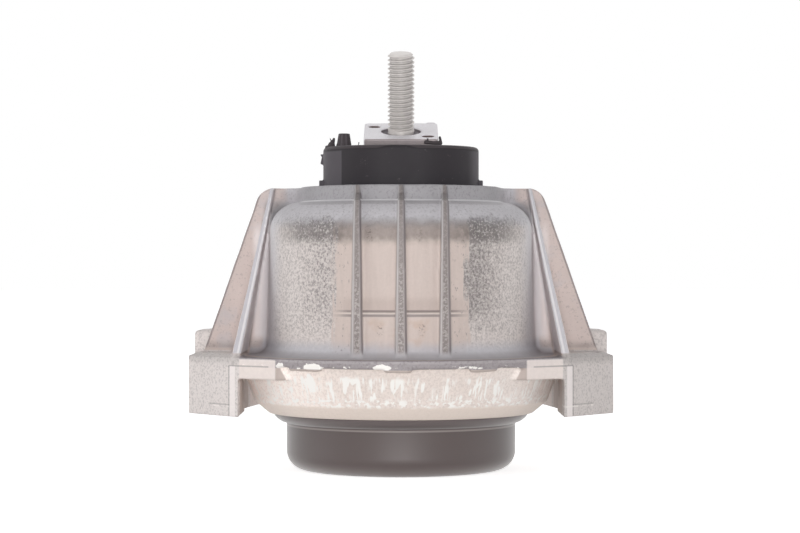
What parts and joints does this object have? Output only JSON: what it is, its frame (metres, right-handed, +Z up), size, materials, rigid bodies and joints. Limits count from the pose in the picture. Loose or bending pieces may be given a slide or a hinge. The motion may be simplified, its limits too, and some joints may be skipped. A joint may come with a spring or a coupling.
{
  "type": "engine mount",
  "caption": "Hydraulic engine mount: cast aluminium bell housing with wing walls and bolted feet, rubber stop buffer, leaning square head with a threaded stud, cup cap below.",
  "frame": {"origin": "centre of the flat underside of the cap", "axes": "+Z up along the common axis of cap, collar and bell; the stud and head lean from +Z towards -Y; +X to the right seen from the side that the stud leans to"},
  "size_m": [0.1554, 0.1232, 0.1538],
  "materials": {
    "cast_aluminium": "as cast, dull, with scuffs",
    "core_aluminium": "machined, satin",
    "zinc_steel": "zinc plated",
    "buffer_rubber": "moulded, matte",
    "spring_rubber": "moulded, matte",
    "membrane_rubber": "moulded, smooth",
    "bellows_rubber": "moulded, smooth",
    "ring_steel": "phosphated",
    "plate_plastic": "glass-filled, matte",
    "cap_coat": "dip-coated, smooth and matte"
  },
  "bodies": {
    "root": {"housing": "cast_aluminium", "core": "core_aluminium", "stud": "zinc_steel", "stop_buffer": "buffer_rubber", "main_spring": "spring_rubber", "spring_ring": "ring_steel", "channel_plate_upper": "plate_plastic", "channel_plate_lower": "plate_plastic", "decoupler_membrane": "membrane_rubber", "bellows": "bellows_rubber", "bellows_ring": "ring_steel", "bottom_cap": "cap_coat"}
  },
  "joints": []
}
